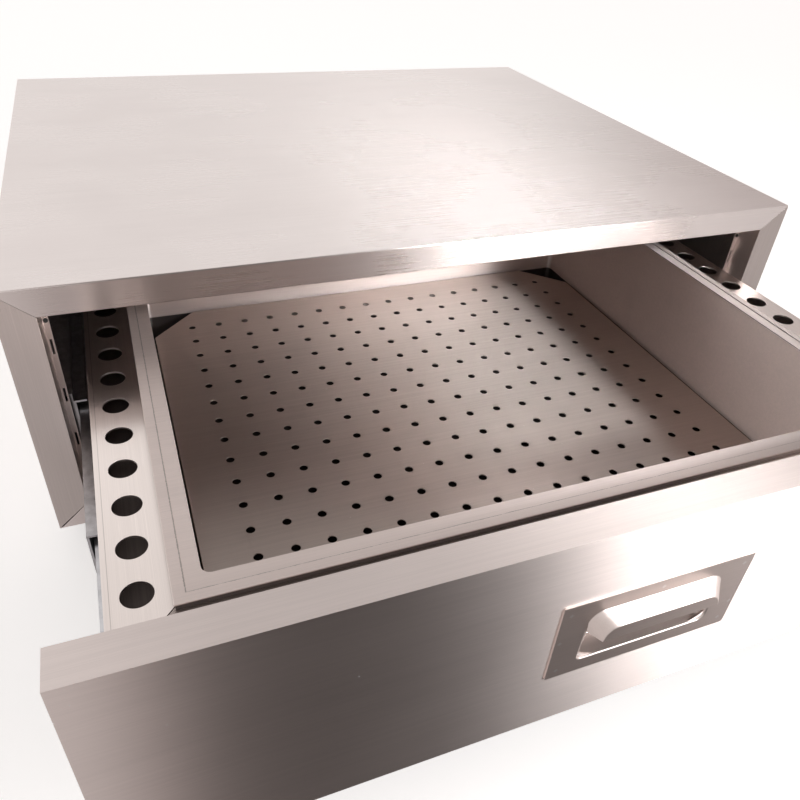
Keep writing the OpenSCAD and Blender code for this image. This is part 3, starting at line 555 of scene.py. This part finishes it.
def makeCabinet(look):
    low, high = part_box("top_panel")
    sideLow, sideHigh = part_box("right_side_panel")
    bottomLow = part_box("bottom_panel")[0]
    bandFoot = min(v.co.z for v in nodes["top_panel"].data.vertices if v.co.y < low.y + mm)
    soften("top_panel", "topSheet", "cabinetSteel",
           {"X": [(low.y, high.z, look["bend"]), (low.y, bandFoot, look["innerBend"]),
                  (high.y, high.z, look["bend"])],
            "Y": [(low.x, high.z, look["flange"]), (high.x, high.z, look["flange"])]}, look["cut"])
    for side, sign in (("left", -1), ("right", 1)):
        name = side + "_side_panel"
        verts = [v.co for v in nodes[name].data.vertices]
        stile = min(abs(c.x) for c in verts if c.y < sideLow.y + 0.5 * mm)
        soften(name, side + "Sheet", "sideSteel",
               {"Z": [(sign * sideHigh.x, sideLow.y, look["bend"]),
                      (sign * stile, sideLow.y, look["innerBend"]),
                      (sign * sideHigh.x, sideHigh.y, look["flange"])]}, look["cut"])
    bandTop = max(v.co.z for v in nodes["bottom_panel"].data.vertices if v.co.y < bottomLow.y + mm)
    soften("bottom_panel", "floorSheet", "cabinetSteel",
           {"X": [(bottomLow.y, bandTop, look["innerBend"]), (bottomLow.y, bottomLow.z, look["flange"])]},
           look["cut"])
    soften("rear_panel", "rearSheet", "cabinetSteel", {}, look["cut"], 2)


makeCabinet(cabinetLook)
print("cabinet sheets made")


drawerLook = {"bend": 1.2 * mm, "frontBend": 2.2 * mm, "cut": 0.2 * mm, "frontSide": 1.4 * mm}


def makeDrawer(look):
    for side, sign in (("left", -1), ("right", 1)):
        name = f"drawer_{side}_rail"
        low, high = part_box(name)
        outer = sign * max(abs(low.x), abs(high.x))
        soften(name, side + "Rail", "railSteel",
               {"Y": [(outer, high.z, look["bend"]), (outer, low.z, look["bend"])]}, look["cut"])
    for end in ("front", "back"):
        name = f"drawer_{end}_rail"
        low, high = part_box(name)
        outer = low.y if end == "front" else high.y
        finish = "railFrontSteel" if end == "front" else "railSteel"
        radius = look["cut"] if end == "front" else look["bend"]
        soften(name, end + "Rail", finish, {"X": [(outer, high.z, radius)]}, look["cut"])
    low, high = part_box("drawer_front_skin")
    soften("drawer_front_skin", "frontSkin", "frontSteel",
           {"X": [(low.y, high.z, look["frontBend"]), (low.y, low.z, look["frontBend"])],
            "Z": [(low.x, low.y, look["frontSide"]), (high.x, low.y, look["frontSide"])]},
           look["cut"], 4)


makeDrawer(drawerLook)
print("drawer sheets made")


holeShadeLook = {"inner": 234 * mm, "outer": 274.4 * mm, "run": (-0.377, 0.117), "level": 0.146,
              "lip": 9 * mm, "bend": 2.5 * mm, "sheet": 0.8 * mm}
panLook = {"rimEdge": 0.7 * mm, "cut": 0.15 * mm, "hem": 6.2 * mm, "hemThickness": 0.5 * mm,
           "hemOver": 0.5 * mm, "burr": 0.25 * mm, "burrCuts": 90, "hemRound": 0.6, "holeEdge": 0.28 * mm}


def makeHoleShade(side, sign, look):            # painted shade: a dark sheet below one rail's holes, where there is only shade
    y, z = sum(look["run"]) / 2, look["level"]
    x = sign * (look["inner"] + look["outer"]) / 2
    deselectAll()
    bpy.ops.mesh.primitive_plane_add(size=1, location=(x, y, z))
    piece = bpy.context.object
    piece.name = side + "HoleShade"
    piece.scale = (look["outer"] - look["inner"], look["run"][1] - look["run"][0], 1)
    bpy.ops.object.transform_apply(location=True, rotation=True, scale=True)
    edit(piece)
    selectEdges(piece, lambda a, b: abs(a.x - b.x) < touching)
    pullEdges((0, 0, look["lip"]))
    bpy.ops.mesh.select_all(action="SELECT")
    bpy.ops.mesh.normals_make_consistent(inside=False)
    selectEdges(piece, lambda a, b: abs(a.x - b.x) < touching and max(a.z, b.z) < z + touching)
    bpy.ops.mesh.bevel(offset=look["bend"], segments=4, affect="EDGES")
    bpy.ops.object.mode_set(mode="OBJECT")
    thick = piece.modifiers.new("sheet", "SOLIDIFY")
    thick.thickness = look["sheet"]
    applyModifiers(piece)
    finishPiece(piece, "drawer", "shadeSteel")


def makePan(look):
    low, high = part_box("pan")
    piece = copyNode("pan", "panShell")
    radius = look["rimEdge"]
    roundEdges(piece, {"X": [(low.y, high.z, radius), (high.y, high.z, radius)],
                       "Y": [(low.x, high.z, radius), (high.x, high.z, radius)]}, look["cut"])
    finishPiece(piece, "pan", "panSteel", ["pan"])
    tray = copyNode("perforated_tray", "trayPlate", whole=False)
    roundEdges(tray, {}, look["holeEdge"], segments=2, clamp=False)
    finishPiece(tray, "tray", "traySteel", ["perforated_tray"], angle=8)


def makeHem(look):                           # the folded strip that closes the outer half of the rim
    low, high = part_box("pan")
    deselectAll()
    centre = ((low.x + high.x) / 2, (low.y + high.y) / 2, high.z)
    bpy.ops.mesh.primitive_plane_add(size=1, location=centre)
    piece = bpy.context.object
    piece.name = "rimHem"
    overhang = look["hemOver"]
    piece.scale = (high.x - low.x + 2 * overhang, high.y - low.y + 2 * overhang, 1)
    bpy.ops.object.transform_apply(location=True, rotation=True, scale=True)
    edit(piece)
    bpy.ops.mesh.select_all(action="SELECT")
    bpy.ops.mesh.inset(thickness=look["hem"])
    bpy.ops.mesh.delete(type="FACE")
    insideX = high.x - look["hem"] + overhang
    insideY = (high.y - low.y) / 2 - look["hem"] + overhang

    def within(c, slack):
        return abs(c.x) < insideX + slack and abs(c.y - centre[1]) < insideY + slack

    selectEdges(piece, lambda a, b: within(a, near) and within(b, near))
    bpy.ops.mesh.subdivide(number_cuts=look["burrCuts"])
    selectVerts(piece, lambda c: within(c, near)
                and (abs(c.x) < insideX - mm or abs(c.y - centre[1]) < insideY - mm))
    bpy.ops.transform.vertex_random(offset=look["burr"], seed=4)
    bpy.ops.transform.resize(value=(1, 1, 0), center_override=(0, 0, high.z))      # flat again
    bpy.ops.mesh.select_all(action="SELECT")
    pull((0, 0, look["hemThickness"]))
    bpy.ops.mesh.select_all(action="SELECT")
    bpy.ops.mesh.normals_make_consistent(inside=False)
    outline = [(0, low.x - overhang), (0, high.x + overhang), (1, low.y - overhang), (1, high.y + overhang)]
    selectEdges(piece, lambda a, b: alongLimits(a, b, outline, 2 * touching)
                and min(a.z, b.z) > high.z + near)
    bpy.ops.mesh.bevel(offset=look["hemThickness"] * look["hemRound"], segments=3, affect="EDGES")
    bpy.ops.object.mode_set(mode="OBJECT")
    finishPiece(piece, "pan", "panSteel")


for holeShadeSide, holeShadeSign in (("left", -1), ("right", 1)):
    makeHoleShade(holeShadeSide, holeShadeSign, holeShadeLook)
makePan(panLook)
makeHem(panLook)
print("pan and tray made")


handleLook = {
    "mouthHalf": 44 * mm, "rootTop": 20.5 * mm, "lip": 4.6 * mm, "mouthFoot": -20.5 * mm,
    "hoodOut": 8.4 * mm, "hoodNarrow": 0.86, "hoodShort": 0.62, "pocketIn": 13 * mm, "lipFold": 1.3 * mm,
    "plateEdge": 0.35 * mm, "hoodRound": 2.6 * mm, "mouthRound": 4.5 * mm, "pocketRound": 4 * mm,
    "endRound": 8 * mm, "rootRound": 1.6 * mm,
    "proud": 1.2 * mm,                       # how far the plate stands in front of the drawer's face
    "pocketNarrow": 0.88, "pocketTall": 1.45, "pocketFoot": 4 * mm,
    "lipDrop": 0.2 * mm, "lipTuck": 0.4, "lipRise": 5 * mm,
    "steep": 4 * mm,                         # an edge deeper than this runs in or out from the plate
}


def bevelWhere(piece, radiusOf, segments, sharp):      # a bevel whose size is chosen edge by edge
    mesh = bmesh.new()
    mesh.from_mesh(piece.data)
    layers = mesh.edges.layers.float
    weights = layers.get("bevel_weight_edge") or layers.new("bevel_weight_edge")
    joined = [e for e in mesh.edges if len(e.link_faces) == 2]
    bent = [e for e in joined if e.calc_face_angle() > math.radians(sharp)]
    radii = {e.index: radiusOf(e.verts[0].co, e.verts[1].co) for e in bent}
    widest = max(radii.values())
    for edge in mesh.edges:
        edge[weights] = radii.get(edge.index, 0) / widest
    mesh.to_mesh(piece.data)
    mesh.free()
    bevel = piece.modifiers.new("pressedRounds", "BEVEL")
    bevel.width = widest
    bevel.segments = segments
    bevel.limit_method = "WEIGHT"
    applyModifiers(piece)


def makeHandle(look):
    low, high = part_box("handle")
    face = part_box("drawer_front_skin")[0].y - look["proud"]
    middle = (low.z + high.z) / 2
    width, height = high.x - low.x, high.z - low.z
    rootTop, lip, foot = (middle + look[k] for k in ("rootTop", "lip", "mouthFoot"))
    half = look["mouthHalf"]
    deselectAll()
    bpy.ops.mesh.primitive_plane_add(size=1, location=(0, face, middle), rotation=(math.pi / 2, 0, 0))
    piece = bpy.context.object
    piece.name = "pressedHandle"
    piece.scale = (width, height, 1)
    bpy.ops.object.transform_apply(location=True, rotation=True, scale=True)
    edit(piece)
    for axis, place in (("X", -half), ("X", half), ("Z", rootTop), ("Z", lip), ("Z", foot)):
        bisectAt(piece, axis, place)
    selectFaces(piece, lambda c, n: abs(c.x) < half and lip < c.z < rootTop)
    pull((0, -look["hoodOut"], 0))                               # the hood
    bpy.ops.transform.resize(value=(look["hoodNarrow"], 1, look["hoodShort"]),
                             center_override=(0, face - look["hoodOut"], lip))
    selectFaces(piece, lambda c, n: n.z < -0.9 and c.y < face)
    bpy.ops.mesh.delete(type="FACE")
    selectFaces(piece, lambda c, n: abs(c.x) < half and foot < c.z < lip and c.y > face - near)
    pull((0, look["pocketIn"], 0))                               # the pocket, which goes up behind the hood
    bpy.ops.transform.resize(value=(look["pocketNarrow"], 1, look["pocketTall"]),
                             center_override=(0, face, foot - look["pocketFoot"]))
    selectFaces(piece, lambda c, n: n.z < -0.5 and c.y > face + 2 * mm)
    bpy.ops.mesh.delete(type="FACE")
    lipFront = face - look["hoodOut"]
    selectEdges(piece, lambda a, b: alongLimits(a, b, [(2, lip)], touching)
                and max(a.y, b.y) < lipFront + near)
    pullEdges((0, look["lipFold"], -look["lipDrop"]))
    pullEdges((0, look["lipFold"] * look["lipTuck"], look["lipRise"]))
    border = [(0, low.x), (0, high.x), (2, low.z), (2, high.z)]
    selectEdges(piece, lambda a, b: alongLimits(a, b, border, touching))
    pullEdges((0, look["proud"], 0))
    bpy.ops.object.mode_set(mode="OBJECT")

    def cornerRadius(a, b):                                      # corners that run in or out from the plate
        if abs(a.y - b.y) < look["steep"]:
            return 0
        return look["endRound"] if max(a.z, b.z) > lip + 3 * mm else look["pocketRound"]

    def rimRadius(a, b):                                         # edges that run round the plate or the mouth
        if abs(a.y - b.y) > look["steep"]:
            return 0
        if max(abs(a.y - face), abs(b.y - face)) > near / 2:
            return look["pocketRound"] if a.y > face and b.y > face else look["hoodRound"]
        if abs(a.x) > half + mm or abs(a.z - middle) > look["rootTop"] + mm:
            return look["plateEdge"]
        return look["mouthRound"] if max(a.z, b.z) <= lip + near else look["rootRound"]

    bevelWhere(piece, cornerRadius, 7, 20)
    bevelWhere(piece, rimRadius, 5, 28)
    finishPiece(piece, "drawer", "handleSteel", ["handle"], angle=50)


makeHandle(handleLook)
print("handle made")


smallParts = {                               # node: piece, finish, slot, edge radius
    "feet": ("softFeet", "blackRubber", "black_rubber", 1.2 * mm),
    "drawer_bumpers": ("softBumpers", "blackRubber", "black_rubber", 0.6 * mm),
    "power_inlet": ("softInlet", "blackPlastic", "black_plastic", 0.8 * mm),
    "switch_bezel": ("softBezel", "blackPlastic", "black_plastic", 0.6 * mm),
    "switch_rocker": ("softRocker", "blackPlastic", "black_plastic", 0.5 * mm),
    "interlock_sensor": ("softSensor", "blackPlastic", "black_plastic", 0.5 * mm),
    "ballast": ("softBallast", "whiteEnamel", "white_enamel", 0.8 * mm),
    "lamp_holders": ("softHolders", "whitePlastic", "white_plastic", 0.8 * mm),
    "starter": ("softStarter", "whitePlastic", "white_plastic", 0.8 * mm),
    "terminal_block": ("softTerminals", "whitePlastic", "white_plastic", 0.4 * mm),
}


def makeSmallParts(looks):
    for nodeName, (pieceName, finish, slotName, radius) in looks.items():
        soften(nodeName, pieceName, finish, {}, radius)


makeSmallParts(smallParts)
print("small parts made")


floorLook = {"size": 12, "fibre": 240, "dark": (0.86, 0.855, 0.85), "light": (0.92, 0.915, 0.91),
             "rough": 0.9, "glowColour": (1, 0.99, 0.985, 1), "glow": 0.4}


def makeFloor(look):
    bpy.ops.mesh.primitive_plane_add(size=look["size"], location=(0, 0, 0))
    floor = bpy.context.object
    floor.name = "floor"
    material, net = startMaterial("palePaper")
    colour = mixColour(look["dark"], look["light"], noise(net, even(look["fibre"]), 3, 0.6))
    finishMaterial(material, net, {"Base Color": colour, "Roughness": look["rough"],
                                   "Emission Color": look["glowColour"], "Emission Strength": look["glow"]})
    floor.data.materials.append(material)
    floor.visible_glossy = False             # the steel doesn't mirror the floor


lightLooks = {
    "keyLight": {"place": (0.75, -1.25, 0.68), "aim": (0.07, -0.13, 0.2), "size": (0.42, 0.7),
                 "power": 13, "beam": 180},
    "trayLight": {"place": (0.66, -1.10, 0.84), "aim": (0.03, 0.0, 0.10), "size": (0.3, 0.3),
                  "power": 0.5, "beam": 18},
}


def makeLight(name, look):
    towards = Vector(look["aim"]) - Vector(look["place"])
    bpy.ops.object.light_add(type="AREA", location=look["place"],
                             rotation=towards.to_track_quat("-Z", "Y").to_euler())
    light = bpy.context.object
    light.name = name
    light.data.shape = "RECTANGLE"
    light.data.size, light.data.size_y = look["size"]
    light.data.energy = look["power"]
    light.data.spread = math.radians(look["beam"])
    light.visible_camera = False


worldLook = {                                # what the steel mirrors, from dark to light by direction
    "behind": (-0.1, 0.55), "right": (0.46, 0.68), "left": (0.0, -0.16), "corner": (0.42, 0.76),
    "up": (0.52, 0.85), "bandFoot": (0.42, 0.5), "bandHead": (0.72, 0.62), "bandSide": (0.5, 0.4),
    "least": 0.03, "bandLevel": 0.6, "behindLevel": 1.07, "cornerDrop": 0.56,
    "rightLevel": 0.68, "leftLevel": 0.65, "upDrop": 0.25,
    "dimColour": (1.0, 0.82, 0.78), "brightColour": (1.0, 0.985, 0.97), "colourCut": (0.1, 1.0),
    "backdropColour": (1.0, 0.985, 0.975), "backdropLevel": 0.96,
}


def makeWorld(look):
    world = bpy.data.worlds.new("studio")
    bpy.context.scene.world = world
    world.use_nodes = True
    world.node_tree.nodes.clear()
    net = Signal(world.node_tree)
    across, back, rise = net.make("ShaderNodeTexCoord", output=0).split()
    behind = back.ramp(*look["behind"])
    ahead = 1 - behind
    right, left, corner = [across.ramp(*look[side]) for side in ("right", "left", "corner")]
    band = rise.ramp(*look["bandFoot"]) * rise.ramp(*look["bandHead"]) * across.ramp(*look["bandSide"])
    level = look["least"] + ahead * band * look["bandLevel"]
    level = level + behind * (look["behindLevel"] - corner * look["cornerDrop"])
    level = level + ahead * (right * look["rightLevel"] + left * look["leftLevel"])
    level = level * (1 - rise.ramp(*look["up"]) * behind * look["upDrop"])
    colour = mixColour(look["dimColour"], look["brightColour"], level.ramp(*look["colourCut"]))
    seen = net.make("ShaderNodeLightPath", output=0)              # the backdrop itself is plain and pale
    level = level * (1 - seen) + seen * look["backdropLevel"]
    colour = mixColour(colour, look["backdropColour"], seen)
    background = net.make("ShaderNodeBackground", {}, {"Color": colour, "Strength": level})
    net.make("ShaderNodeOutputWorld", {}, {"Surface": background})


bpy.context.scene.view_settings.view_transform = "Standard"
makeFloor(floorLook)
for lightName, lightLook in lightLooks.items():
    makeLight(lightName, lightLook)
makeWorld(worldLook)
print("studio made")
